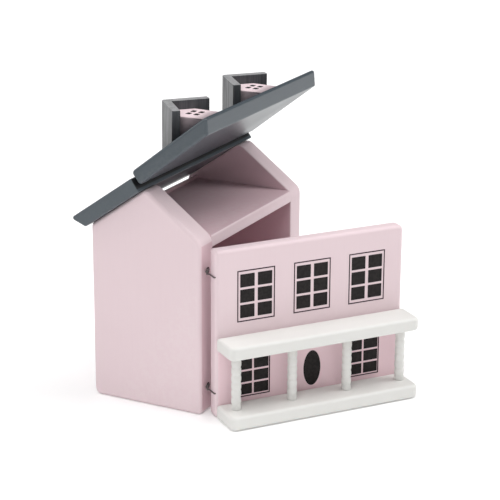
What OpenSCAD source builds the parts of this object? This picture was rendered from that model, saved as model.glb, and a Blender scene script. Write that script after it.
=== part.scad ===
// Small wooden dollhouse: gabled house body, front that swings open with a porch, and a
// hinged roof half with two dormers. Units are mm, +Z is up, the origin is under the middle
// of the house body. The front and the roof flap are drawn part-open, which is joint value 0.

/* [House body] */
// Width over the two gable walls
body_w = 90; // [70:1:180]
// Depth of the gable walls, front to back
body_d = 50; // [40:1:100]
// Height of the gable walls at the front eaves
eave_h = 72.4; // [55:0.1:150]
// Height of the gable walls at the back eaves
back_eave_h = 73.2; // [55:0.1:150]
// Height of the gable points
ridge_h = 91; // [70:0.1:190]
// Thickness of the gable walls
wall_t = 10; // [6:0.5:14]
// Thickness of the back wall
back_t = 5; // [4:0.5:10]
// Height of the back wall at its outer face, a little short of the roof
back_h = 71.8; // [50:0.1:148]
// How much higher the back wall stands at its inner face
back_rise = 3.1; // [0:0.1:5]
// Thickness of the floors
floor_t = 5; // [3:0.5:8]
// Top of the middle floor
middle_z = 38; // [25:0.5:60]
// Top of the attic floor
attic_z = 73.2; // [55:0.1:150]

/* [Roof] */
// Thickness of the roof boards
roof_t = 6.2; // [4:0.1:9]
// How far the roof runs past each gable wall
roof_over = 3.2; // [0:0.1:8]
// Length of the back board along the slope, on its under face
back_slope_l = 31; // [20:0.1:70]
// Length of the front board along the slope, on its under face
flap_l = 38.5; // [25:0.1:80]
// Angle of the sawn eave edges from square
eave_cut = 33.6; // [0:0.1:45]
// Angle of the open flap above level, as drawn
flap_rest = 38.15; // [0:0.05:46]
// Chamfer on the lower ridge edge of the flap
flap_chamfer = 1; // [0.8:0.1:2]

/* [Dormers] */
// Distance of each dormer from the middle of the roof
dormer_x = 25.4; // [15:0.1:30]
// Distance of the dormer point from the ridge edge, along the flap
dormer_s = 16; // [12:0.1:25]
// Height of the dormer point above the flap
dormer_h = 18.5; // [12:0.1:25]
// Angle between the dormer and the flap
dormer_lean = 51.5; // [36:0.1:60]
// Pitch of the dormer roof boards
dormer_pitch = 42; // [35:0.5:50]
// Length of a dormer roof board down its slope
dormer_board_l = 19.1; // [12:0.1:25]
// Thickness of a dormer roof board
dormer_board_t = 3.4; // [2:0.1:5]
// How far the dormer roof runs past the dormer face
dormer_over = 3.7; // [0:0.1:8]
// Width of the dormer block
dormer_w = 14.4; // [12:0.1:26]

/* [Front] */
// Width of the front panel
panel_w = 84; // [60:0.5:170]
// Thickness of the front panel
panel_t = 6; // [4:0.1:10]
// Top edge of the front panel
panel_top = 70.2; // [50:0.1:148]
// Gap between the front and the ground
front_gap = 0.3; // [0.2:0.1:1]
// Angle the front stands open, as drawn
front_rest = 37; // [0:1:120]

/* [Porch] */
// Length of the porch roof
porch_roof_w = 84.9; // [60:0.1:170]
// Length of the porch base
porch_base_w = 84.2; // [60:0.1:170]
// Top of the porch roof
porch_z = 34.5; // [25:0.1:70]
// Thickness of the porch roof
porch_roof_t = 5.5; // [3:0.1:9]
// Depth of the porch roof in front of the panel
porch_roof_d = 14; // [8:0.1:30]
// Thickness of the porch base
porch_base_t = 5.7; // [3:0.1:9]
// Depth of the porch base in front of the panel
porch_base_d = 15.5; // [8:0.1:30]
// Radius of the posts at their beads
post_r = 2; // [1.5:0.05:3]
// Depth of the hollows between the beads
post_cut = 0.35; // [0.1:0.05:0.8]
// Spacing of the posts
post_pitch = 24.75; // [18:0.05:50]
// Middle of the row of posts, from the hinge end of the panel
post_mid = 42.8; // [30:0.1:90]
// Distance of the posts in front of the panel
post_n = 6.8; // [4:0.1:12]
// Number of beads on a post
post_beads = 6; // [4:1:8]

/* [Wire hinges] */
// Radius of the wire
wire_r = 0.28; // [0.2:0.01:0.5]
// Radius of the front hinge pins
pin_r = 0.28; // [0.2:0.01:0.6]
// Running clearance between a pin and its eye
pin_play = 0.05; // [0.02:0.01:0.09]
// Outside radius of a front hinge eye
eye_r = 0.6; // [0.5:0.05:1]
// Height of the upper front hinge
hinge_high = 59.7; // [40:0.1:130]
// Height of the lower front hinge
hinge_low = 10.9; // [8:0.1:25]
// Radius of the round recess in the wall edge
recess_r = 1.5; // [1:0.1:2.5]
// Depth of the round recess in the wall edge
recess_d = 4; // [2:0.5:8]
// Distance of the roof hinges from the middle
roof_hinge_x = 28; // [15:0.5:40]
// Radius of the roof hinge pins
roof_pin_r = 0.2; // [0.15:0.01:0.4]
// Outside radius of a roof hinge eye
roof_eye_r = 0.45; // [0.35:0.01:0.6]

/* [Hidden] */
$fn = 48;
pitch = atan((ridge_h - back_eave_h) / (body_d / 2));
half_w = body_w / 2;
half_d = body_d / 2;
room_w = body_w - 2 * wall_t;
// Front hinge axis, and where the panel sits from it
front_x = -half_w + 2.6;
front_y = -half_d - 1.4;
panel_s = 1.06;
panel_n = 0.08;
recess_x = -half_w + 5.8;
// The middle of an eye is this far above the middle of its recess
eye_lift = 0.7;
// The wire across the end of the panel is this far below the middle of its eye
arm_drop = 0.95;
eye_h = 0.8;
// Roof hinge axis, and where the flap sits from it
roof_y = 1.56;
roof_z = 93.43;
flap_s = 0.75;
flap_n = 0.8;
// The back board starts a little behind the gable points
back_s = 0.6;
post_z0 = front_gap + porch_base_t;
post_h = porch_z - porch_roof_t - post_z0;

pink = [0.85, 0.77, 0.79];
white = [0.9, 0.9, 0.88];
slate = [0.33, 0.38, 0.42];
grey_wood = [0.5, 0.51, 0.52];
steel = [0.6, 0.6, 0.6];

// ---- helpers ----

// A box from its lowest corner and its size
module block(from, size) {
  translate(from) cube(size);
}

// A straight wire between two points that share a plane
module wire(from, to, r) {
  d = to - from;
  length = norm(d);
  turn = atan2(d[1], d[0]);
  tip = acos(d[2] / length);
  translate(from) rotate([0, tip, turn]) cylinder(h = length, r = r, $fn = 24);
}

// Turns a drawing of the side view, with y across and z up, into a board along X
module along_x(from_x, width) {
  translate([from_x, 0, 0]) rotate([90, 0, 90]) linear_extrude(height = width) children();
}

// Places front parts: x runs along the panel from its hinge end, -y out of its face
module front_place() {
  translate([front_x, front_y, 0]) rotate([0, 0, -front_rest])
    translate([panel_s, -panel_n, 0]) children();
}

// Places flap parts: the board lies from its ridge edge towards -y, z out of the upper face
module flap_place() {
  translate([0, roof_y, roof_z]) rotate([-flap_rest, 0, 0])
    translate([0, -flap_s, -flap_n]) children();
}

// Places back roof parts: y runs down the back slope from the gable points
module back_place() {
  translate([0, 0, ridge_h]) rotate([-pitch, 0, 0]) children();
}

// ---- house body ----

module gable_outline() {
  polygon([[-half_d, 0], [half_d, 0], [half_d, back_eave_h], [0, ridge_h],
    [-half_d, eave_h]]);
}

module hinge_recess(z) {
  translate([recess_x, -half_d - 1, z]) rotate([-90, 0, 0])
    cylinder(h = recess_d + 1, r = recess_r);
  translate([recess_x, -half_d, z + eye_lift]) rotate([-90, 0, 0])
    cylinder(h = recess_d + 4, r = wire_r, $fn = 24);
}

module left_gable_wall() {
  color(pink) difference() {
    along_x(-half_w, wall_t) gable_outline();
    hinge_recess(hinge_high);
    hinge_recess(hinge_low);
  }
}

module right_gable_wall() {
  color(pink) along_x(half_w - wall_t, wall_t) gable_outline();
}

module back_wall() {
  in_y = half_d - back_t;
  color(pink) along_x(-room_w / 2, room_w)
    polygon([[in_y, 0], [half_d, 0], [half_d, back_h], [in_y, back_h + back_rise]]);
}

module floor_board(top) {
  block([-room_w / 2, -half_d, top - floor_t], [room_w, body_d - back_t, floor_t]);
}

module base_floor() {
  color(pink) floor_board(floor_t);
}

module middle_floor() {
  color(pink) floor_board(middle_z);
}

module attic_floor() {
  color(pink) floor_board(attic_z);
}

// ---- roof ----

module back_roof_panel() {
  over = roof_t * tan(eave_cut);
  color(slate) difference() {
    back_place() along_x(-half_w - roof_over, body_w + 2 * roof_over)
      polygon([[back_s, 0], [back_s + back_slope_l, 0],
        [back_s + back_slope_l + over, roof_t], [back_s, roof_t]]);
    roof_shank(-roof_hinge_x);
    roof_shank(roof_hinge_x);
  }
}

module roof_flap() {
  over = roof_t * tan(eave_cut);
  color(slate) difference() {
    flap_place() along_x(-half_w - roof_over, body_w + 2 * roof_over)
      polygon([[0, flap_chamfer], [-flap_chamfer, 0], [-flap_l, 0],
        [-flap_l - over, roof_t], [0, roof_t]]);
    flap_place() roof_hook_legs(-roof_hinge_x);
    flap_place() roof_hook_legs(roof_hinge_x);
  }
}

// ---- dormers ----

// Places dormer parts: y runs back along the dormer ridge, z up, from the dormer point
module dormer_place(x) {
  flap_place() translate([x, -dormer_s, roof_t + dormer_h]) rotate([-dormer_lean, 0, 0])
    children();
}

// Everything above the upper face of the flap
module above_flap() {
  flap_place() block([-half_w, -60, roof_t], [body_w, 80, 60]);
}

module dormer_block(x) {
  drop = dormer_board_t / cos(dormer_pitch);
  side = drop + dormer_w / 2 * tan(dormer_pitch);
  intersection() {
    dormer_place(x) translate([0, dormer_over, 0]) rotate([-90, 0, 0])
      linear_extrude(height = 40)
      polygon([[0, drop], [dormer_w / 2, side], [dormer_w / 2, 50], [-dormer_w / 2, 50],
        [-dormer_w / 2, side]]);
    above_flap();
  }
}

// One board of a dormer roof: way is -1 for the left one, 1 for the right one
module dormer_board(x, way) {
  c = cos(dormer_pitch);
  s = sin(dormer_pitch);
  l = dormer_board_l;
  t = dormer_board_t;
  intersection() {
    dormer_place(x) rotate([-90, 0, 0]) linear_extrude(height = 40)
      polygon([[0, 0], [way * l * c, l * s], [way * (l * c - t * s), l * s + t * c],
        [0, t / c]]);
    above_flap();
  }
}

module left_dormer_block() {
  color(pink) dormer_block(-dormer_x);
}

module right_dormer_block() {
  color(pink) dormer_block(dormer_x);
}

module left_dormer_left_board() {
  color(grey_wood) dormer_board(-dormer_x, -1);
}

module left_dormer_right_board() {
  color(grey_wood) dormer_board(-dormer_x, 1);
}

module right_dormer_left_board() {
  color(grey_wood) dormer_board(dormer_x, -1);
}

module right_dormer_right_board() {
  color(grey_wood) dormer_board(dormer_x, 1);
}

// ---- front and porch ----

module front_panel() {
  color(pink) difference() {
    front_place() block([0, -panel_t, front_gap], [panel_w, panel_t, panel_top - front_gap]);
    front_place() hook_leg(hinge_high);
    front_place() hook_leg(hinge_low);
  }
}

module porch_roof() {
  color(white) front_place()
    block([0, -panel_t - porch_roof_d, porch_z - porch_roof_t],
      [porch_roof_w, porch_roof_d, porch_roof_t]);
}

module porch_base() {
  color(white) front_place()
    block([0, -panel_t - porch_base_d, front_gap],
      [porch_base_w, porch_base_d, porch_base_t]);
}

// A turned post: a row of beads between two plain ends
module porch_post(number) {
  end_h = post_r;
  bead_h = (post_h - 2 * end_h) / post_beads;
  x = post_mid + (number - 2.5) * post_pitch;
  color(white) front_place() translate([x, -panel_t - post_n, post_z0]) difference() {
    cylinder(h = post_h, r = post_r, $fn = 32);
    for (i = [0 : post_beads]) {
      translate([0, 0, end_h + i * bead_h]) rotate_extrude($fn = 32)
        translate([post_r, 0]) polygon([[-post_cut, 0], [0.1, -bead_h / 3],
          [0.1, bead_h / 3]]);
    }
  }
}

module post_1() {
  porch_post(1);
}

module post_2() {
  porch_post(2);
}

module post_3() {
  porch_post(3);
}

module post_4() {
  porch_post(4);
}

// ---- front hinges ----

// A wire eye: an upright tube on the hinge axis, on a wire that goes back into the recess
module wall_eye(z) {
  run_y = -half_d - 0.75;
  eye_z = z + eye_lift;
  color(steel) difference() {
    union() {
      translate([front_x, front_y, eye_z - eye_h / 2]) cylinder(h = eye_h, r = eye_r, $fn = 32);
      wire([front_x + 0.3, run_y, eye_z], [recess_x, run_y, eye_z], wire_r);
      translate([recess_x, run_y, eye_z]) sphere(r = wire_r, $fn = 24);
      wire([recess_x, run_y, eye_z], [recess_x, -half_d + recess_d + 4, eye_z], wire_r);
    }
    translate([front_x, front_y, eye_z - 2]) cylinder(h = 4, r = pin_r + pin_play, $fn = 32);
  }
}

// The bent end of a hook, inside the panel
module hook_leg(z) {
  arm_z = z + eye_lift - arm_drop;
  wire([-wire_r - 0.01, -panel_t + 0.9, arm_z], [2.5, -panel_t + 0.9, arm_z], wire_r);
}

// A pin up through the eye, on a wire that lies across the end of the panel
module panel_hook(z) {
  arm_x = -wire_r - 0.01;
  eye_z = z + eye_lift;
  arm_z = eye_z - arm_drop;
  knob_z = eye_z + eye_h / 2 + 0.25;
  color(steel) front_place() {
    translate([-panel_s, panel_n, arm_z - wire_r])
      cylinder(h = knob_z + 0.3 - arm_z + wire_r, r = pin_r, $fn = 32);
    translate([-panel_s, panel_n, knob_z]) cylinder(h = 0.3, r = 0.5, $fn = 32);
    wire([-panel_s, panel_n, arm_z], [arm_x, -0.3, arm_z], wire_r);
    translate([arm_x, -0.3, arm_z]) sphere(r = wire_r, $fn = 24);
    wire([arm_x, -0.3, arm_z], [arm_x, -panel_t + 0.9, arm_z], wire_r);
    translate([arm_x, -panel_t + 0.9, arm_z]) sphere(r = wire_r, $fn = 24);
    hook_leg(z);
  }
}

module upper_wall_eye() {
  wall_eye(hinge_high);
}

module lower_wall_eye() {
  wall_eye(hinge_low);
}

module upper_panel_hook() {
  panel_hook(hinge_high);
}

module lower_panel_hook() {
  panel_hook(hinge_low);
}

// ---- roof hinges ----

// The wire of a roof eye, from the hinge axis square into the back board
module roof_shank(x) {
  reach = 5;
  wire([x, roof_y, roof_z], [x, roof_y + reach * cos(pitch), roof_z - reach * sin(pitch)],
    roof_pin_r + 0.05);
}

// A short tube along the ridge, on a wire that goes into the back board
module roof_eye(x) {
  color(steel) difference() {
    union() {
      translate([x - 1, roof_y, roof_z]) rotate([0, 90, 0])
        cylinder(h = 2, r = roof_eye_r, $fn = 32);
      roof_shank(x);
    }
    translate([x - 2, roof_y, roof_z]) rotate([0, 90, 0])
      cylinder(h = 4, r = roof_pin_r + pin_play, $fn = 32);
  }
}

// The two legs of a roof hook, from the hinge axis into the ridge edge of the flap
module roof_hook_legs(x) {
  for (side = [-1, 1]) {
    wire([x + side * 1.6, flap_s, flap_n], [x + side * 1.6, -4, flap_n], roof_pin_r);
  }
}

// A staple: a pin through the eye with a leg at each end
module roof_hook(x) {
  color(steel) flap_place() {
    translate([x - 1.6, flap_s, flap_n]) rotate([0, 90, 0])
      cylinder(h = 3.2, r = roof_pin_r, $fn = 32);
    for (side = [-1, 1]) {
      translate([x + side * 1.6, flap_s, flap_n]) sphere(r = roof_pin_r, $fn = 24);
    }
    roof_hook_legs(x);
  }
}

module left_roof_eye() {
  roof_eye(-roof_hinge_x);
}

module right_roof_eye() {
  roof_eye(roof_hinge_x);
}

module left_roof_hook() {
  roof_hook(-roof_hinge_x);
}

module right_roof_hook() {
  roof_hook(roof_hinge_x);
}

left_gable_wall();
right_gable_wall();
back_wall();
base_floor();
middle_floor();
attic_floor();
back_roof_panel();
roof_flap();
left_dormer_block();
right_dormer_block();
left_dormer_left_board();
left_dormer_right_board();
right_dormer_left_board();
right_dormer_right_board();
front_panel();
porch_roof();
porch_base();
post_1();
post_2();
post_3();
post_4();
upper_wall_eye();
lower_wall_eye();
upper_panel_hook();
lower_panel_hook();
left_roof_eye();
right_roof_eye();
left_roof_hook();
right_roof_hook();
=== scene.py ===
import math

import bmesh
import bpy
from mathutils import Matrix, Vector


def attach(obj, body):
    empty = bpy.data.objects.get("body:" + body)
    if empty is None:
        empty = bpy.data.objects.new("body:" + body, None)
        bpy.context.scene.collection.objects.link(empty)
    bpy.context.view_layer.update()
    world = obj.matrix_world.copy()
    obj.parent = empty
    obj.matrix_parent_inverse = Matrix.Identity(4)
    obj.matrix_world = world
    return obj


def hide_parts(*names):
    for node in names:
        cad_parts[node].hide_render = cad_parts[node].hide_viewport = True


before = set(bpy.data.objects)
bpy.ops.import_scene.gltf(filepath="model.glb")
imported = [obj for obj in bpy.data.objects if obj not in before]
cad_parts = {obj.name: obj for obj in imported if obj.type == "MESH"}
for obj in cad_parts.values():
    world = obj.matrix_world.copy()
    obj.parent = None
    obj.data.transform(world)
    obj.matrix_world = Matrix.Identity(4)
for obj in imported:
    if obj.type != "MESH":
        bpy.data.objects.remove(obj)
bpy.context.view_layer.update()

# Everything is worked out in millimetres, in the CAD frame, and scaled to metres at the end.
MM = 0.001
TO_METRES = Matrix.Scale(MM, 4)

# ---- sizes that the CAD part was built to ----
# House body: half its width and depth, board thicknesses, heights of eaves, ridge and floors
HALF_W = 45.0
HALF_D = 25.0
WALL_T = 10.0
BACK_T = 5.0
FLOOR_T = 5.0
EAVE_H = 72.4
BACK_EAVE_H = 73.2
RIDGE_H = 91.0
BACK_H = 71.8
BACK_RISE = 3.1
FLOOR_TOPS = {"base_floor": FLOOR_T, "middle_floor": 38.0, "attic_floor": 73.2}
# Roof boards: thickness, overhang at the gables, eave cut, lengths down the slope
ROOF_T = 6.2
ROOF_OVER = 3.2
EAVE_CUT = math.radians(33.6)
FLAP_L = 38.5
BACK_START = 0.6
BACK_L = 31.0
PITCH = math.atan((RIDGE_H - BACK_EAVE_H) / HALF_D)
# Dormers: place on the flap, height above it, lean, roof slope, and their boards
DORMER_X = 25.4
DORMER_S = 16.0
DORMER_H = 18.5
DORMER_LEAN = math.radians(51.5)
DORMER_PITCH = math.radians(42.0)
DORMER_OVER = 3.7
DORMER_W = 14.4
BOARD_L = 19.1
BOARD_T = 3.4
# Front board
PANEL_W = 84.0
PANEL_T = 6.0
PANEL_TOP = 70.2
FRONT_GAP = 0.3
# Porch: roof and base boards, and the posts between them
PORCH_ROOF_W = 84.9
PORCH_ROOF_D = 14.0
PORCH_ROOF_T = 5.5
PORCH_ROOF_TOP = 34.5
PORCH_BASE_W = 84.2
PORCH_BASE_D = 15.5
PORCH_BASE_T = 5.7
POST_R = 2.0
POST_COUNT = 4
POST_PITCH = 24.75
POST_MID = 42.8
POST_OUT = 6.8
POST_BEADS = 6
# Round recesses for the wire eyes, in the left wall's front edge
HINGE_HEIGHTS = (59.7, 10.9)
RECESS_X = -39.2
RECESS_R = 1.5
RECESS_D = 4.0

# ---- where each moving part is drawn, in the photographed pose ----
FRONT_REST = math.radians(37.0)
FRONT_AXIS = (-42.4, -26.4, 0)
FRONT_FROM_AXIS = (1.06, -0.08, 0)
FLAP_REST = math.radians(38.15)
FLAP_AXIS = (0, 1.56, 93.43)
FLAP_FROM_AXIS = (0, -0.75, -0.8)
FRONT = (
    Matrix.Translation(FRONT_AXIS)
    @ Matrix.Rotation(-FRONT_REST, 4, "Z")
    @ Matrix.Translation(FRONT_FROM_AXIS)
)
FLAP = (
    Matrix.Translation(FLAP_AXIS)
    @ Matrix.Rotation(-FLAP_REST, 4, "X")
    @ Matrix.Translation(FLAP_FROM_AXIS)
)
BACK_ROOF = Matrix.Translation((0, 0, RIDGE_H)) @ Matrix.Rotation(-PITCH, 4, "X")

# ---- directions for solids made from an outline and a depth ----
# Outline drawn (across, up), depth along +X
ALONG_X = Matrix(((0, 0, 1, 0), (1, 0, 0, 0), (0, 1, 0, 0), (0, 0, 0, 1)))
# Outline drawn (across, down), depth along +Y
ALONG_Y = Matrix(((1, 0, 0, 0), (0, 0, 1, 0), (0, -1, 0, 0), (0, 0, 0, 1)))
# Outline drawn (across, up), depth from the face out towards -Y
FACE_OUT = Matrix(((1, 0, 0, 0), (0, 0, -1, 0), (0, 1, 0, 0), (0, 0, 0, 1)))


def dormer_frame(x):
    """The frame of one dormer: its origin is the front top of the ridge, +Y runs back."""
    return (
        FLAP
        @ Matrix.Translation((x, -DORMER_S, ROOF_T + DORMER_H))
        @ Matrix.Rotation(-DORMER_LEAN, 4, "X")
    )


# ---- mesh helpers ----
def to_object(name, mesh_bm, material, body, replaced=(), smooth=True):
    """Turns a bmesh in millimetres into a scene object that rides on a body."""
    mesh_bm.transform(TO_METRES)
    bmesh.ops.recalc_face_normals(mesh_bm, faces=mesh_bm.faces)
    mesh = bpy.data.meshes.new(name)
    mesh_bm.to_mesh(mesh)
    mesh_bm.free()
    obj = bpy.data.objects.new(name, mesh)
    bpy.context.scene.collection.objects.link(obj)
    mesh.materials.append(material)
    if smooth:
        mesh.polygons.foreach_set("use_smooth", [True] * len(mesh.polygons))
        obj.modifiers.new("even_shading", "WEIGHTED_NORMAL").weight = 80
    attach(obj, body)
    if replaced:
        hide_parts(*replaced)
    return obj


def paint_faces(obj, materials, choose):
    """Adds materials after the first; choose(face) gives each face its material's number."""
    for material in materials:
        obj.data.materials.append(material)
    for face in obj.data.polygons:
        face.material_index = choose(face)


def join_loops(bm, loops):
    """Skins a row of vertex loops of equal length and closes both ends."""
    for low, high in zip(loops, loops[1:]):
        for i in range(len(low)):
            j = (i + 1) % len(low)
            bm.faces.new((low[i], low[j], high[j], high[i]))
    bm.faces.new(loops[0][::-1])
    bm.faces.new(loops[-1])


def inset_outline(points, radii, inset, steps):
    """A convex outline moved inwards, with an arc at every corner."""
    area = sum(a[0] * b[1] - b[0] * a[1] for a, b in zip(points, points[1:] + points[:1]))
    if area < 0:
        points, radii = points[::-1], radii[::-1]
    smallest_radius = 0.02
    corners = [Vector(p) for p in points]
    out = []
    for i, p in enumerate(corners):
        before = (corners[i - 1] - p).normalized()
        after = (corners[(i + 1) % len(corners)] - p).normalized()
        half = before.angle(after) / 2
        middle = (before + after).normalized()
        corner = p + middle * (inset / math.sin(half))
        r = max(radii[i] - inset, smallest_radius)
        centre = corner + middle * (r / math.sin(half))
        first = corner + before * (r / math.tan(half)) - centre
        last = corner + after * (r / math.tan(half)) - centre
        sweep = first.angle_signed(last)
        for k in range(steps + 1):
            turn = -sweep * k / steps
            c, s = math.cos(turn), math.sin(turn)
            out.append((centre.x + first.x * c - first.y * s, centre.y + first.x * s + first.y * c))
    return out


def soft_prism(points, radii, depth, end_radius, place, steps=5):
    """A convex solid with its own radius at every long edge and rounded end faces.

    end_radius is one number, or one for the start face and one for the far face.
    """
    if isinstance(radii, (int, float)):
        radii = [radii] * len(points)
    near, far = end_radius if isinstance(end_radius, tuple) else (end_radius, end_radius)
    turns = [math.pi / 2 * k / steps for k in range(steps + 1)]
    levels = [(near * (1 - math.cos(a)), near * (1 - math.sin(a))) for a in turns]
    levels += [(depth - far * (1 - math.cos(a)), far * (1 - math.sin(a))) for a in turns[::-1]]
    bm = bmesh.new()
    loops = []
    for z, inset in levels:
        outline = inset_outline(points, radii, inset, steps)
        loops.append([bm.verts.new((x, y, z)) for x, y in outline])
    join_loops(bm, loops)
    bm.transform(place)
    return bm


def soft_box(low, size, end_radius, radii, place=Matrix.Identity(4)):
    """A board standing on its plan outline; radii start at the low x, low y corner."""
    x, y, z = low
    w, d, h = size
    outline = [(x, y), (x + w, y), (x + w, y + d), (x, y + d)]
    return soft_prism(outline, radii, h, end_radius, place @ Matrix.Translation((0, 0, z)))


def carve(obj, cutter_bm):
    """Cuts a solid, given in metres, out of an object's own mesh."""
    mesh = bpy.data.meshes.new("cutter")
    cutter_bm.to_mesh(mesh)
    cutter_bm.free()
    cutter = bpy.data.objects.new("cutter", mesh)
    bpy.context.scene.collection.objects.link(cutter)
    kept = list(obj.modifiers)
    for modifier in kept:
        modifier.show_viewport = False
    cut = obj.modifiers.new("cut", "BOOLEAN")
    cut.operation = "DIFFERENCE"
    cut.solver = "EXACT"
    cut.object = cutter
    bpy.context.view_layer.update()
    graph = bpy.context.evaluated_depsgraph_get()
    carved = bpy.data.meshes.new_from_object(obj.evaluated_get(graph))
    obj.modifiers.remove(cut)
    obj.data = carved
    for modifier in kept:
        modifier.show_viewport = True
    bpy.data.objects.remove(cutter)


# ---- materials ----
class Shader:
    """A node material: coordinates in millimetres, turned to lie along the piece."""

    def __init__(self, name, turn=(0, 0, 0)):
        self.mat = bpy.data.materials.new(name)
        self.mat.use_nodes = True
        self.tree = self.mat.node_tree
        self.bsdf = self.tree.nodes["Principled BSDF"]
        coords = self.node("ShaderNodeTexCoord")
        mapping = self.node("ShaderNodeMapping")
        mapping.vector_type = "POINT"
        mapping.inputs["Rotation"].default_value = turn
        mapping.inputs["Scale"].default_value = (1 / MM, 1 / MM, 1 / MM)
        self.link(coords.outputs["Object"], mapping.inputs["Vector"])
        self.mm = mapping.outputs["Vector"]

    def node(self, kind):
        return self.tree.nodes.new(kind)

    def link(self, a, b):
        self.tree.links.new(a, b)

    def noise(self, scale, detail=3.0, rough=0.55, stretch=(1, 1, 1), distortion=0.0):
        m = self.node("ShaderNodeMapping")
        m.inputs["Scale"].default_value = stretch
        self.link(self.mm, m.inputs["Vector"])
        n = self.node("ShaderNodeTexNoise")
        n.inputs["Scale"].default_value = scale
        n.inputs["Detail"].default_value = detail
        n.inputs["Roughness"].default_value = rough
        n.inputs["Distortion"].default_value = distortion
        self.link(m.outputs["Vector"], n.inputs["Vector"])
        return n.outputs["Fac"]

    def ramp(self, value, low, high, out_low=0.0, out_high=1.0):
        r = self.node("ShaderNodeMapRange")
        r.interpolation_type = "SMOOTHSTEP"
        r.inputs["From Min"].default_value = low
        r.inputs["From Max"].default_value = high
        r.inputs["To Min"].default_value = out_low
        r.inputs["To Max"].default_value = out_high
        self.link(value, r.inputs["Value"])
        return r.outputs["Result"]

    def math(self, kind, a, b):
        m = self.node("ShaderNodeMath")
        m.operation = kind
        for i, v in enumerate((a, b)):
            if isinstance(v, (int, float)):
                m.inputs[i].default_value = v
            else:
                self.link(v, m.inputs[i])
        return m.outputs[0]

    def mix(self, factor, a, b):
        """Mixes two colours; on the mix node, sockets 6 and 7 are the colours A and B."""
        m = self.node("ShaderNodeMix")
        m.data_type = "RGBA"
        self.link(factor, m.inputs["Factor"])
        for i, v in ((6, a), (7, b)):
            if isinstance(v, tuple):
                m.inputs[i].default_value = (*v, 1)
            else:
                self.link(v, m.inputs[i])
        return m.outputs[2]

    def axes(self):
        """The X, Y and Z of a point in the material's own millimetres."""
        split = self.node("ShaderNodeSeparateXYZ")
        self.link(self.mm, split.inputs[0])
        return split.outputs

    def edges(self, low=0.52, high=0.62):
        """1 on sharp outer edges and 0 on flat faces."""
        g = self.node("ShaderNodeNewGeometry")
        return self.ramp(g.outputs["Pointiness"], low, high)

    def finish(self, colour, rough, height, bump_mm=0.05, strength=0.5):
        self.link(colour, self.bsdf.inputs["Base Color"])
        self.link(rough, self.bsdf.inputs["Roughness"])
        bump = self.node("ShaderNodeBump")
        bump.inputs["Strength"].default_value = strength
        bump.inputs["Distance"].default_value = bump_mm * MM
        self.link(height, bump.inputs["Height"])
        self.link(bump.outputs["Normal"], self.bsdf.inputs["Normal"])
        return self.mat


GRAIN_UP = (1, 1, 0.05)
GRAIN_ACROSS = (0.05, 1, 1)
# Near-black painted shadow for the shaded gap where one board meets another
GAP_SHADOW = (0.012, 0.012, 0.013)


def painted_wood(name, colour, shade, worn, turn=(0, 0, 0), grain=GRAIN_UP, rough=(0.5, 0.62),
                 grain_amount=0.14, wear=0.25, painted_shadow=None, painted_bounce=None):
    """Paint over smooth board: faint cloudiness, the grain showing through, rubbed edges.

    painted_shadow is (y, z): nearer than y, and above z, the board's edge gets a near-black painted
    shadow, standing for a shaded gap beside it.
    painted_bounce is (z, colour): below z the paint goes over to another colour, as painted light for
    light bounced under a porch.
    """
    s = Shader(name, turn)
    cloud = s.noise(scale=0.045, detail=4)
    fibre = s.noise(scale=1.1, detail=6, rough=0.6, stretch=grain, distortion=0.4)
    speck = s.noise(scale=2.6, detail=2)
    lines = s.ramp(fibre, 0.42, 0.68)
    tone = s.math("MULTIPLY", lines, grain_amount)
    tone = s.math("ADD", tone, s.ramp(cloud, 0.0, 1.0, 0.0, 0.35))
    base = s.mix(tone, colour, shade)
    patches = s.ramp(s.noise(scale=0.5, detail=4), 0.42, 0.6, 0.0, wear)
    base = s.mix(s.math("MULTIPLY", s.edges(), patches), base, worn)
    # Painted bounce light: below z the paint goes most of the way to the other colour
    if painted_bounce:
        z, painted_bounce_colour = painted_bounce
        below = s.ramp(s.axes()["Z"], z - 1.0, z, 1.0, 0.0)
        base = s.mix(s.math("MULTIPLY", below, 0.85), base, painted_bounce_colour)
    # Painted shadow: near-black on the board's edge, nearer than y and above z
    if painted_shadow:
        y, z = painted_shadow
        edge = s.ramp(s.axes()["Y"], y - 0.1, y + 0.1, 1.0, 0.0)
        above = s.ramp(s.axes()["Z"], z - 0.25, z + 0.25)
        base = s.mix(s.math("MULTIPLY", edge, above), base, GAP_SHADOW)
    height = s.math("ADD", s.math("MULTIPLY", fibre, 0.7), s.math("MULTIPLY", speck, 0.3))
    return s.finish(base, s.ramp(cloud, 0.0, 1.0, *rough), height, bump_mm=0.05, strength=0.35)


def stained_wood(name, pale, dark, mid, worn):
    """Grey stain on open-grained board: pale and dark streaks along the grain."""
    s = Shader(name)
    streak = s.noise(scale=0.75, detail=5, rough=0.6, stretch=(1, 1, 0.06), distortion=0.6)
    fine = s.noise(scale=2.6, detail=4, rough=0.65, stretch=(1, 1, 0.04), distortion=0.2)
    cloud = s.noise(scale=0.12, detail=3)
    tone = s.math("ADD", s.ramp(streak, 0.38, 0.64, 0.0, 0.75), s.ramp(fine, 0.4, 0.7, 0.0, 0.3))
    base = s.mix(tone, pale, dark)
    base = s.mix(s.ramp(cloud, 0.35, 0.7, 0.0, 0.35), base, mid)
    base = s.mix(s.math("MULTIPLY", s.edges(), 0.35), base, worn)
    height = s.math("ADD", s.math("MULTIPLY", streak, 0.6), s.math("MULTIPLY", fine, 0.4))
    return s.finish(base, s.ramp(fine, 0.3, 0.7, 0.5, 0.75), height, bump_mm=0.12, strength=0.7)


def ink(name, colour):
    """Printed ink, a little uneven in gloss and depth."""
    s = Shader(name)
    patch = s.noise(scale=0.9, detail=3)
    thin = tuple(c * 1.6 + 0.004 for c in colour)
    base = s.mix(s.ramp(patch, 0.35, 0.65), colour, thin)
    s.bsdf.inputs["Specular IOR Level"].default_value = 0.2
    rough = s.ramp(patch, 0.3, 0.7, 0.6, 0.75)
    return s.finish(base, rough, s.noise(scale=3.0, detail=2), bump_mm=0.02, strength=0.3)


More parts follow.
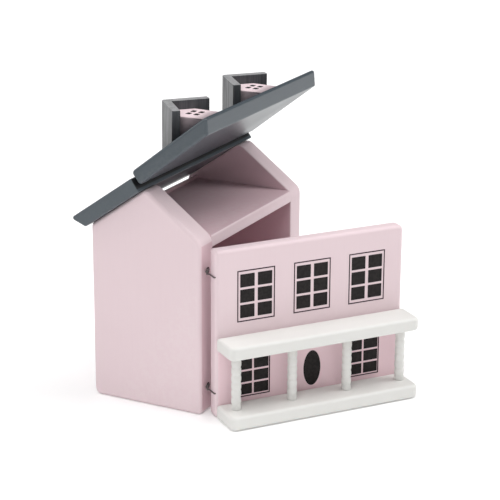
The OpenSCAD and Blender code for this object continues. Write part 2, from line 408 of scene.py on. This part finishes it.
def drawn_wire(name):
    """Dull wire with fine scratches along it."""
    s = Shader(name)
    s.bsdf.inputs["Metallic"].default_value = 0.5
    scratch = s.noise(scale=6.0, detail=4, rough=0.6, stretch=(1, 1, 0.2))
    base = s.mix(s.ramp(scratch, 0.35, 0.65), (0.17, 0.145, 0.145), (0.10, 0.085, 0.087))
    rough = s.ramp(scratch, 0.3, 0.7, 0.3, 0.5)
    return s.finish(base, rough, scratch, bump_mm=0.02, strength=0.4)


def studio_white(name):
    """The pale floor, glowing faintly so that it stays white in the object's soft shadow."""
    s = Shader(name)
    patch = s.noise(scale=0.01, detail=2)
    s.bsdf.inputs["Emission Color"].default_value = (1, 1, 1, 1)
    s.bsdf.inputs["Emission Strength"].default_value = 0.1
    base = s.mix(patch, (0.93, 0.93, 0.93), (0.95, 0.95, 0.95))
    return s.finish(base, s.ramp(patch, 0, 1, 0.7, 0.8), patch, bump_mm=0.01, strength=0.1)


# Paints: the colour, its shade along the grain and in clouds, and where it is rubbed
PINK = ((0.775, 0.628, 0.658), (0.735, 0.590, 0.620), (0.80, 0.69, 0.70))
# Darker, more saturated copy of the pink: painted shade on the room's faces, the floors and the left
# gable's front edge
PINK_IN_SHADE = ((0.690, 0.492, 0.535), (0.655, 0.46, 0.503), (0.72, 0.60, 0.62))
# Near-black pink: painted shade in the wire eyes' recesses
RECESS = ((0.10, 0.045, 0.05), (0.07, 0.03, 0.035), (0.2, 0.1, 0.1))
# Pinker, a little lighter pink: painted light for the light bounced between the wall and the white
# porch under the porch roof
PORCH_BOUNCE_PINK = (0.845, 0.625, 0.672)
BACK_SLATE = ((0.074, 0.091, 0.105), (0.058, 0.073, 0.085), (0.13, 0.15, 0.165))
# The back roof's slate darkened by about an eighth: painted shade on the flap
FLAP_SLATE_SHADED = ((0.064, 0.080, 0.094), (0.050, 0.064, 0.075), (0.12, 0.14, 0.155))
WHITE = ((0.74, 0.735, 0.71), (0.715, 0.71, 0.685), (0.78, 0.765, 0.73))
# Stains: pale and dark streaks, the cloud between them, and where they are rubbed
GREY_FACE = ((0.235, 0.238, 0.245), (0.078, 0.078, 0.083), (0.168, 0.166, 0.165),
             (0.26, 0.26, 0.26))
# Darker copy of the grey stain: painted shade on the dormer boards' undersides and lower edges
GREY_SHADED = ((0.085, 0.090, 0.098), (0.045, 0.048, 0.054), (0.075, 0.075, 0.078),
              (0.11, 0.11, 0.11))
# Lighter copy of the grey stain: painted light on the dormer boards' front ends
GREY_LIT = ((0.325, 0.325, 0.335), (0.205, 0.205, 0.21), (0.31, 0.31, 0.31), (0.38, 0.38, 0.38))

FRONT_TURN = (0, 0, FRONT_REST)
FLAP_TURN = (FLAP_REST, 0, 0)
BACK_TURN = (PITCH, 0, 0)
SLATE_LOOK = {"grain": GRAIN_ACROSS, "rough": (0.26, 0.36), "grain_amount": 0.3, "wear": 0.2}
# On the back board's ridge edge a strip this high, at its lower side, keeps the slate paint; above it
# the edge gets a near-black painted shadow, standing for the shaded gap under the flap's hinge edge
RIDGE_STRIP = 1.3
ridge_painted_shadow = (BACK_START + 0.3 - RIDGE_H * math.sin(PITCH), RIDGE_STRIP + RIDGE_H * math.cos(PITCH))
porch_painted_bounce = (PORCH_ROOF_TOP - PORCH_ROOF_T, PORCH_BOUNCE_PINK)

pink_walls = painted_wood("pink_paint_walls", *PINK)
# Floors and room faces take the darker pink of painted shade
pink_shaded_floor = painted_wood("pink_paint_floors_painted_shade", *PINK_IN_SHADE, grain=GRAIN_ACROSS)
pink_shaded_inside = painted_wood("pink_paint_inside_painted_shade", *PINK_IN_SHADE)
# Painted shade for the recesses
dark_hole = painted_wood("recess_shade", *RECESS)
pink_front = painted_wood("pink_paint_front", *PINK, turn=FRONT_TURN)
# The front face turns pinker and a little lighter under the porch roof: painted bounce light
pink_front_face = painted_wood("pink_paint_front_face", *PINK, turn=FRONT_TURN,
                               painted_bounce=porch_painted_bounce)
pink_dormer = painted_wood("pink_paint_dormers", *PINK)
# The flap's slate carries painted shade
slate_flap = painted_wood("slate_paint_flap", *FLAP_SLATE_SHADED, turn=FLAP_TURN, **SLATE_LOOK)
slate_back = painted_wood("slate_paint_back", *BACK_SLATE, turn=BACK_TURN, painted_shadow=ridge_painted_shadow,
                          **SLATE_LOOK)
white_porch = painted_wood("white_paint_porch", *WHITE, turn=FRONT_TURN, grain=GRAIN_ACROSS,
                           grain_amount=0.15)
white_post = painted_wood("white_paint_posts", *WHITE, turn=FRONT_TURN, grain_amount=0.15)
grey_lit_ends = stained_wood("grey_stain_ends_painted_light", *GREY_LIT)
grey_boards = stained_wood("grey_stain_boards", *GREY_FACE)
grey_shaded_under = stained_wood("grey_stain_undersides_painted_shade", *GREY_SHADED)
print_black = ink("printed_black", (0.012, 0.010, 0.010))
print_line = ink("printed_outline", (0.030, 0.015, 0.020))
wire_metal = drawn_wire("dull_wire")


# ---- house body ----
def drill_recess(wall, height):
    """Sinks one round recess for a wire eye into the wall's front edge."""
    clearance = 2
    depth = RECESS_D + clearance
    middle = Vector((RECESS_X, -HALF_D - clearance + depth / 2, height))
    drill = bmesh.new()
    bmesh.ops.create_cone(drill, cap_ends=True, segments=40, radius1=RECESS_R * MM,
                          radius2=RECESS_R * MM, depth=depth * MM)
    drill.transform(Matrix.Rotation(math.radians(90), 4, "X"))
    drill.transform(Matrix.Translation(middle * MM))
    carve(wall, drill)


def in_recess(face):
    x, y, z = (v / MM for v in face.center)
    distance = min(math.hypot(x - RECESS_X, z - h) for h in HINGE_HEIGHTS)
    return distance < RECESS_R + 0.1 and y > -HALF_D + 0.1


OUTER_END = 1.5
INNER_END = 0.5
# A face looks squarely along an axis when its normal has at least this much of it
SQUARE_ON = 0.95
FLAT_EDGE = 0.98
# Radii at the front foot, the back foot, the back eave, the ridge and the front eave
GABLE_RADII = [2.0, 2.8, 2.2, 3.2, 5.0]
gable = [(-HALF_D, 0), (HALF_D, 0), (HALF_D, BACK_EAVE_H), (0, RIDGE_H), (-HALF_D, EAVE_H)]

place = Matrix.Translation((-HALF_W, 0, 0)) @ ALONG_X
bm = soft_prism(gable, GABLE_RADII, WALL_T, (OUTER_END, INNER_END), place)
left = to_object("left_gable", bm, pink_walls, "house", ["left_gable_wall"])
for height in HINGE_HEIGHTS:
    drill_recess(left, height)


def left_gable_paint(face):
    """The room side and the flat front edge get the darker pink of painted shade; the recesses get a
    near-black painted shade.
    """
    if in_recess(face):
        return 2
    return 1 if face.normal.x > SQUARE_ON or face.normal.y < -FLAT_EDGE else 0


paint_faces(left, [pink_shaded_inside, dark_hole], left_gable_paint)

place = Matrix.Translation((HALF_W - WALL_T, 0, 0)) @ ALONG_X
bm = soft_prism(gable, GABLE_RADII, WALL_T, (INNER_END, OUTER_END), place)
right_gable = to_object("right_gable", bm, pink_walls, "house", ["right_gable_wall"])
# The room side gets the darker pink of painted shade
paint_faces(right_gable, [pink_shaded_inside], lambda face: 1 if face.normal.x < -SQUARE_ON else 0)

BACK_WALL_RADIUS = 0.5
BACK_WALL_END = 0.3
# Faces and their rounded edges turn to the back, or to the front, beyond this
TURNED = 0.3
ROOM_W = 2 * (HALF_W - WALL_T)
ROOM_BACK = HALF_D - BACK_T
back_wall = [(ROOM_BACK, 0), (HALF_D, 0), (HALF_D, BACK_H), (ROOM_BACK, BACK_H + BACK_RISE)]
place = Matrix.Translation((-ROOM_W / 2, 0, 0)) @ ALONG_X
bm = soft_prism(back_wall, BACK_WALL_RADIUS, ROOM_W, BACK_WALL_END, place)
# The back wall takes the darker pink of painted shade, apart from the faces turned to the back
board = to_object("back_wall_board", bm, pink_shaded_inside, "house", ["back_wall"])
paint_faces(board, [pink_walls], lambda face: 1 if face.normal.y > TURNED else 0)

# The floors run on into the side walls, as glued and painted boards show no end edge
FLOOR_EDGE = 0.6
for name, top in FLOOR_TOPS.items():
    low = (-ROOM_W / 2 - FLOOR_EDGE, -HALF_D, top - FLOOR_T)
    size = (ROOM_W + 2 * FLOOR_EDGE, HALF_D + ROOM_BACK, FLOOR_T)
    bm = soft_box(low, size, FLOOR_EDGE, FLOOR_EDGE + 0.05)
    # Floor boards take the darker pink of painted shade, apart from the front edges
    board = to_object(name + "_board", bm, pink_shaded_floor, "house", [name])
    paint_faces(board, [pink_walls], lambda face: 1 if face.normal.y < -TURNED else 0)

# ---- roof ----
# Radii at the outline's corners, in the order in which each outline is drawn below
BACK_ROOF_RADII = [0.25, 0.8, 1.0, 0.9]
BACK_ROOF_END = 0.6
FLAP_RADII = [1.2, 1.6, 1.0, 0.8]
FLAP_END = 1.3
ROOF_W = 2 * (HALF_W + ROOF_OVER)
roof_start = Matrix.Translation((-ROOF_W / 2, 0, 0)) @ ALONG_X
eave_run = ROOF_T * math.tan(EAVE_CUT)
BACK_END = BACK_START + BACK_L
outline = [(BACK_START, 0), (BACK_END, 0), (BACK_END + eave_run, ROOF_T), (BACK_START, ROOF_T)]
bm = soft_prism(outline, BACK_ROOF_RADII, ROOF_W, BACK_ROOF_END, BACK_ROOF @ roof_start)
to_object("back_roof_board", bm, slate_back, "house", ["back_roof_panel"])
outline = [(0, 0), (0, ROOF_T), (-FLAP_L - eave_run, ROOF_T), (-FLAP_L, 0)]
bm = soft_prism(outline, FLAP_RADII, ROOF_W, FLAP_END, FLAP @ roof_start)
to_object("front_roof_board", bm, slate_flap, "flap", ["roof_flap"])

# ---- dormers ----
# Dormer solids are drawn longer and deeper than needed, then sawn off along the flap
DORMER_RUN = 40
DORMER_DEPTH = 50
BLOCK_EDGE = 0.5
SLOPE_EDGE = 0.35
flap_face = FLAP @ Vector((0, 0, ROOF_T))
flap_up = (FLAP.to_3x3() @ Vector((0, 0, 1))).normalized()


def dormer_solid(outline, from_y, place, radius):
    """A solid along the dormer's ridge, sawn off where it meets the flap."""
    start = place @ Matrix.Translation((0, from_y, 0)) @ ALONG_Y
    bm = soft_prism(outline, radius, DORMER_RUN, radius, start, steps=3)
    cut = bmesh.ops.bisect_plane(bm, geom=bm.verts[:] + bm.edges[:] + bm.faces[:], dist=1e-6,
                                 plane_co=flap_face, plane_no=flap_up, clear_inner=True)
    edges = [e for e in cut["geom_cut"] if isinstance(e, bmesh.types.BMEdge)]
    bmesh.ops.holes_fill(bm, edges=edges)
    return bm


def slope_outline(way):
    """One roof board of a dormer, from the ridge down; way is -1 to the left, 1 to the right."""
    outline = [(0, 0), (way * BOARD_L * slope_cos, BOARD_L * slope_sin),
               (way * (BOARD_L * slope_cos - BOARD_T * slope_sin),
                BOARD_L * slope_sin + BOARD_T * slope_cos), (0, ridge_drop)]
    return outline if way > 0 else outline[::-1]


def slope_paint(place):
    """The underside and the lower edge get a darker copy of the stain, as painted shade; the front end
    gets a lighter copy, as painted light.
    """
    to_dormer = place.to_3x3().inverted()

    def choose(face):
        normal = to_dormer @ face.normal
        if normal.y < -0.7:
            return 2
        return 1 if normal.z < TURNED else 0

    return choose


slope_cos = math.cos(DORMER_PITCH)
slope_sin = math.sin(DORMER_PITCH)
ridge_drop = BOARD_T / slope_cos
side_top = ridge_drop + DORMER_W / 2 * math.tan(DORMER_PITCH)
block_outline = [(0, ridge_drop), (DORMER_W / 2, side_top), (DORMER_W / 2, DORMER_DEPTH),
                 (-DORMER_W / 2, DORMER_DEPTH), (-DORMER_W / 2, side_top)]
for side, x in (("left", -DORMER_X), ("right", DORMER_X)):
    place = dormer_frame(x)
    bm = dormer_solid(block_outline, DORMER_OVER, place, BLOCK_EDGE)
    to_object(f"{side}_dormer_front", bm, pink_dormer, "flap", [f"{side}_dormer_block"])
    for word, way in (("left", -1), ("right", 1)):
        bm = dormer_solid(slope_outline(way), 0, place, SLOPE_EDGE)
        slope = to_object(f"{side}_dormer_{word}_slope", bm, grey_boards, "flap",
                          [f"{side}_dormer_{word}_board"])
        # Undersides and lower edges take painted shade, the front ends painted light
        paint_faces(slope, [grey_shaded_under, grey_lit_ends], slope_paint(place))

# ---- front and porch ----
# Radii at the bottom left, bottom right, top right and top left corners
PANEL_RADII = [1.5, 2.0, 2.2, 1.2]
PANEL_END = 1.5
outline = [(0, FRONT_GAP), (PANEL_W, FRONT_GAP), (PANEL_W, PANEL_TOP), (0, PANEL_TOP)]
bm = soft_prism(outline, PANEL_RADII, PANEL_T, PANEL_END, FRONT @ FACE_OUT)
board = to_object("front_board", bm, pink_front, "front", ["front_panel"])
outward = FRONT.to_3x3() @ Vector((0, -1, 0))
paint_faces(board, [pink_front_face], lambda face: 1 if face.normal.dot(outward) > FLAT_EDGE else 0)

# Radii at the front left, front right, back right and back left corners
PORCH_RADII = [2.4, 2.4, 1.4, 1.4]
PORCH_EDGE = 1.3
low = (0, -PANEL_T - PORCH_ROOF_D, PORCH_ROOF_TOP - PORCH_ROOF_T)
bm = soft_box(low, (PORCH_ROOF_W, PORCH_ROOF_D, PORCH_ROOF_T), PORCH_EDGE, PORCH_RADII, FRONT)
to_object("porch_roof_slab", bm, white_porch, "front", ["porch_roof"])
low = (0, -PANEL_T - PORCH_BASE_D, FRONT_GAP)
bm = soft_box(low, (PORCH_BASE_W, PORCH_BASE_D, PORCH_BASE_T), PORCH_EDGE, PORCH_RADII, FRONT)
to_object("porch_base_slab", bm, white_porch, "front", ["porch_base"])

VALLEY = 0.26
BEAD_STEPS = 8
POST_SIDES = 40


def post_profile(height):
    """Radius and height up a post: rounded beads with sharp valleys between two plain ends."""
    end = POST_R
    bead = (height - 2 * end) / POST_BEADS
    profile = [(POST_R * 0.98, 0), (POST_R, 0.15), (POST_R, end - 0.5)]
    for i in range(POST_BEADS):
        # A bead's last point is the next one's first
        for k in range(1 if i else 0, BEAD_STEPS + 1):
            t = k / BEAD_STEPS
            r = POST_R - VALLEY * (1 - math.sin(math.pi * t)) ** 1.3
            profile.append((r, end + bead * (i + t)))
    return profile + [(POST_R, height - end + 0.5), (POST_R, height - 0.15), (POST_R * 0.98, height)]


def turned_post(name, x):
    foot = FRONT_GAP + PORCH_BASE_T
    bm = bmesh.new()
    turns = [2 * math.pi * k / POST_SIDES for k in range(POST_SIDES)]
    loops = []
    for r, z in post_profile(PORCH_ROOF_TOP - PORCH_ROOF_T - foot):
        loops.append([bm.verts.new((r * math.cos(a), r * math.sin(a), z)) for a in turns])
    join_loops(bm, loops)
    bm.transform(FRONT @ Matrix.Translation((x, -PANEL_T - POST_OUT, foot)))
    to_object(name + "_turned", bm, white_post, "front", [name])


for i in range(POST_COUNT):
    turned_post(f"post_{i + 1}", POST_MID + (i - (POST_COUNT - 1) / 2) * POST_PITCH)

# ---- printed windows, outlines and the oval ----
PRINT_T = 0.04
LINE_W = 0.48
PANE_CORNER = 0.18
WINDOW_COLUMNS = 2
WINDOW_ROWS = 3
UPPER_WINDOW = {"bottom": 39.6, "top": 61.0, "width": 16.5, "margin": (1.25, 1.6), "gap": (1.4, 0.95)}
LOWER_WINDOW = {"bottom": 7.5, "top": 24.6, "width": 15.2, "margin": (0.7, 1.0), "gap": (0.8, 0.8)}
UPPER_X = (17.5, 42.4, 67.3)
LOWER_X = (16.28, 66.34)
OVAL_X = 42.9
OVAL_Z = 14.85
OVAL_HALF_W = 3.88
OVAL_HALF_H = 7.54
OVAL_POINTS = 72


def flat_print(outlines, place):
    """Thin solids lying on a face: x across, y up, z out of it."""
    bm = bmesh.new()
    for outline in outlines:
        join_loops(bm, [[bm.verts.new((x, y, z)) for x, y in outline] for z in (0.0, PRINT_T)])
    bm.transform(place)
    return bm


def rounded_rect(x0, y0, x1, y1, r, steps=4):
    points = []
    corners = ((x1 - r, y0 + r, -90), (x1 - r, y1 - r, 0), (x0 + r, y1 - r, 90), (x0 + r, y0 + r, 180))
    for cx, cy, start in corners:
        for k in range(steps + 1):
            a = math.radians(start + 90 * k / steps)
            points.append((cx + r * math.cos(a), cy + r * math.sin(a)))
    return points


def line_frame(x0, y0, x1, y1, w):
    """Four thin bars round a rectangle, mitred at the corners."""
    return [[(x0, y0), (x1, y0), (x1 - w, y0 + w), (x0 + w, y0 + w)],
            [(x1, y0), (x1, y1), (x1 - w, y1 - w), (x1 - w, y0 + w)],
            [(x1, y1), (x0, y1), (x0 + w, y1 - w), (x1 - w, y1 - w)],
            [(x0, y1), (x0, y0), (x0 + w, y0 + w), (x0 + w, y1 - w)]]


def window_panes(middle, bottom, top, width, margin, gap):
    pane_w = (width - 2 * margin[0] - (WINDOW_COLUMNS - 1) * gap[0]) / WINDOW_COLUMNS
    pane_h = (top - bottom - 2 * margin[1] - (WINDOW_ROWS - 1) * gap[1]) / WINDOW_ROWS
    panes = []
    for i in range(WINDOW_COLUMNS):
        for j in range(WINDOW_ROWS):
            x = middle - width / 2 + margin[0] + i * (pane_w + gap[0])
            z = bottom + margin[1] + j * (pane_h + gap[1])
            panes.append(rounded_rect(x, z, x + pane_w, z + pane_h, PANE_CORNER))
    return panes


panes = []
lines = []
windows = [(x, UPPER_WINDOW) for x in UPPER_X] + [(x, LOWER_WINDOW) for x in LOWER_X]
for x, sizes in windows:
    panes += window_panes(x, **sizes)
    half = sizes["width"] / 2
    lines += line_frame(x - half, sizes["bottom"], x + half, sizes["top"], LINE_W)
oval_turns = [2 * math.pi * k / OVAL_POINTS for k in range(OVAL_POINTS)]
panes.append([(OVAL_X + OVAL_HALF_W * math.cos(a), OVAL_Z + OVAL_HALF_H * math.sin(a))
              for a in oval_turns])
on_panel = FRONT @ Matrix.Translation((0, -PANEL_T, 0)) @ FACE_OUT
to_object("front_window_panes", flat_print(panes, on_panel), print_black, "front", (),
          smooth=False)
to_object("front_window_lines", flat_print(lines, on_panel), print_line, "front", (),
          smooth=False)

# The four panes of each dormer: their middle, spacing, half sizes and corner
DORMER_PANES_X = 0.5
DORMER_PANES_Z = -15.0
DORMER_PANE_OUT = (2.0, 1.75)
DORMER_PANE_HALF = (1.25, 1.0)
DORMER_PANE_CORNER = 0.3
panes = []
for across in (-1, 1):
    for up in (-1, 1):
        x = DORMER_PANES_X + across * DORMER_PANE_OUT[0]
        z = DORMER_PANES_Z + up * DORMER_PANE_OUT[1]
        half_w, half_h = DORMER_PANE_HALF
        panes.append(rounded_rect(x - half_w, z - half_h, x + half_w, z + half_h, DORMER_PANE_CORNER))
for side, x in (("left", -DORMER_X), ("right", DORMER_X)):
    on_dormer = dormer_frame(x) @ Matrix.Translation((0, DORMER_OVER, 0)) @ FACE_OUT
    to_object(f"{side}_dormer_panes", flat_print(panes, on_dormer), print_black, "flap", (),
              smooth=False)

# ---- wire hinges: the CAD shapes, with a dull drawn-wire finish ----
for name in ("upper_wall_eye", "lower_wall_eye", "upper_panel_hook", "lower_panel_hook",
             "left_roof_eye", "right_roof_eye", "left_roof_hook", "right_roof_hook"):
    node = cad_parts[name]
    node.data.materials.clear()
    node.data.materials.append(wire_metal)

# ---- floor: a square, in metres ----
FLOOR_HALF = 40
bm = bmesh.new()
bmesh.ops.create_grid(bm, x_segments=1, y_segments=1, size=FLOOR_HALF)
mesh = bpy.data.meshes.new("studio_floor")
bm.to_mesh(mesh)
bm.free()
mesh.materials.append(studio_white("studio_floor_white"))
scene = bpy.context.scene
studio_floor = bpy.data.objects.new("studio_floor", mesh)
scene.collection.objects.link(studio_floor)

# ---- lights ----
scene.view_settings.view_transform = "Standard"
world = bpy.data.worlds.new("studio")
scene.world = world
world.use_nodes = True
background = world.node_tree.nodes["Background"]
background.inputs["Color"].default_value = (1, 1, 1, 1)
background.inputs["Strength"].default_value = 0.0

SUN_SPREAD = math.radians(35)
# Name, azimuth (0 in front of the house, -90 at its left), elevation, strength
SUNS = (
    ("back_left", -170, 28, 0.62),
    ("left", -80, 28, 0.33),
    ("low_front", -40, 12, 0.20),
    ("front_right", 35, 28, 0.50),
    ("high_left", -80, 50, 0.80),
    ("high_front_right", 35, 50, 1.15),
    ("right", 80, 50, 0.17),
    ("high_back_left", -170, 68, 0.70),
    ("overhead", 0, 88, 1.02),
)


def sun(name, azimuth, elevation, strength):
    """A broad soft light."""
    a = math.radians(azimuth)
    e = math.radians(elevation)
    towards_light = Vector((math.sin(a) * math.cos(e), -math.cos(a) * math.cos(e), math.sin(e)))
    light = bpy.data.lights.new(name, "SUN")
    light.energy = strength
    light.angle = SUN_SPREAD
    obj = bpy.data.objects.new(name, light)
    scene.collection.objects.link(obj)
    obj.rotation_euler = towards_light.to_track_quat("Z", "Y").to_euler()


for values in SUNS:
    sun(*values)

# ---- camera: where the fit to the photo puts it, in metres ----
CAMERA_AT = (-0.6366, -0.3503, 0.2907)
CAMERA_AZIMUTH = math.radians(62.83)
CAMERA_DOWN = math.radians(18.11)
CAMERA_ROLL = math.radians(0.3)
SENSOR = 36
# Focal length in widths of the picture
FOCAL_WIDTHS = 3.6513
look = Vector((math.sin(CAMERA_AZIMUTH) * math.cos(CAMERA_DOWN),
               math.cos(CAMERA_AZIMUTH) * math.cos(CAMERA_DOWN), -math.sin(CAMERA_DOWN)))
level = Vector((math.cos(CAMERA_AZIMUTH), -math.sin(CAMERA_AZIMUTH), 0))
above = level.cross(look)
right = math.cos(CAMERA_ROLL) * level + math.sin(CAMERA_ROLL) * above
up = -math.sin(CAMERA_ROLL) * level + math.cos(CAMERA_ROLL) * above
lens = bpy.data.cameras.new("camera")
lens.sensor_width = SENSOR
lens.lens = SENSOR * FOCAL_WIDTHS
lens.clip_start = 0.01
lens.clip_end = 200
camera = bpy.data.objects.new("camera", lens)
scene.collection.objects.link(camera)
camera.matrix_world = Matrix.Translation(CAMERA_AT) @ Matrix((right, up, -look)).transposed().to_4x4()
scene.camera = camera
